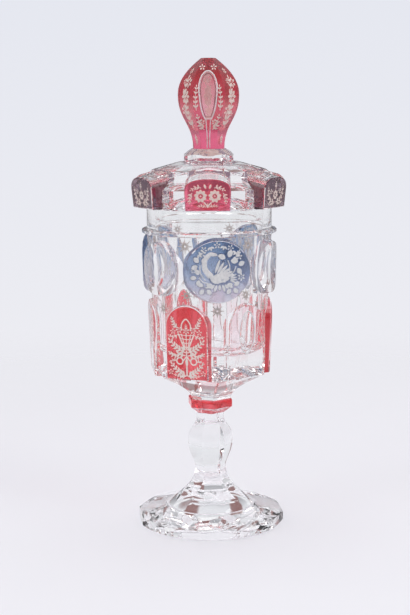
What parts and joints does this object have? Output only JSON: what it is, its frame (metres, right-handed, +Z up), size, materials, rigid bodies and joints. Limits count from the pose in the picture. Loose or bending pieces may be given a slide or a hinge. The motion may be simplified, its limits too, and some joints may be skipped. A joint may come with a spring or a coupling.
{
  "type": "lidded glass goblet",
  "caption": "Tall cut-glass goblet with a lift-off lid, ruby and blue stained raised panels, a faceted stem and a polygonal foot; holds drink and stands free.",
  "frame": {"origin": "centre of the standing face under the foot", "axes": "+Z up along the goblet's axis, -Y through the middle of the first blue medallion"},
  "size_m": [0.1004, 0.1, 0.3],
  "materials": {
    "clear_glass": "cut and polished",
    "ruby_glass": "ruby stain on cut glass, polished",
    "blue_glass": "blue stain on cut glass, polished"
  },
  "bodies": {
    "goblet": {"foot": "clear_glass", "stem": "clear_glass", "stem_collar": "ruby_glass", "bowl_base": "clear_glass", "bowl": "clear_glass", "ruby_arch_1": "ruby_glass", "ruby_arch_2": "ruby_glass", "ruby_arch_3": "ruby_glass", "clear_arch_1": "clear_glass", "clear_arch_2": "clear_glass", "clear_arch_3": "clear_glass", "blue_medallion_1": "blue_glass", "blue_medallion_2": "blue_glass", "blue_medallion_3": "blue_glass", "clear_medallion_1": "clear_glass", "clear_medallion_2": "clear_glass", "clear_medallion_3": "clear_glass"},
    "lid": {"lid_cover": "clear_glass", "lid_flange": "clear_glass", "lid_collar": "clear_glass", "finial": "ruby_glass", "lid_ruby_panel_1": "ruby_glass", "lid_ruby_panel_2": "ruby_glass", "lid_ruby_panel_3": "ruby_glass", "lid_blue_panel_1": "blue_glass", "lid_blue_panel_2": "blue_glass", "lid_blue_panel_3": "blue_glass"}
  },
  "joints": [
    {"name": "lid_lift", "type": "slide", "parent": "goblet", "child": "lid", "axis": [0, 0, 1], "range_m": [0, 0.1]}
  ]
}
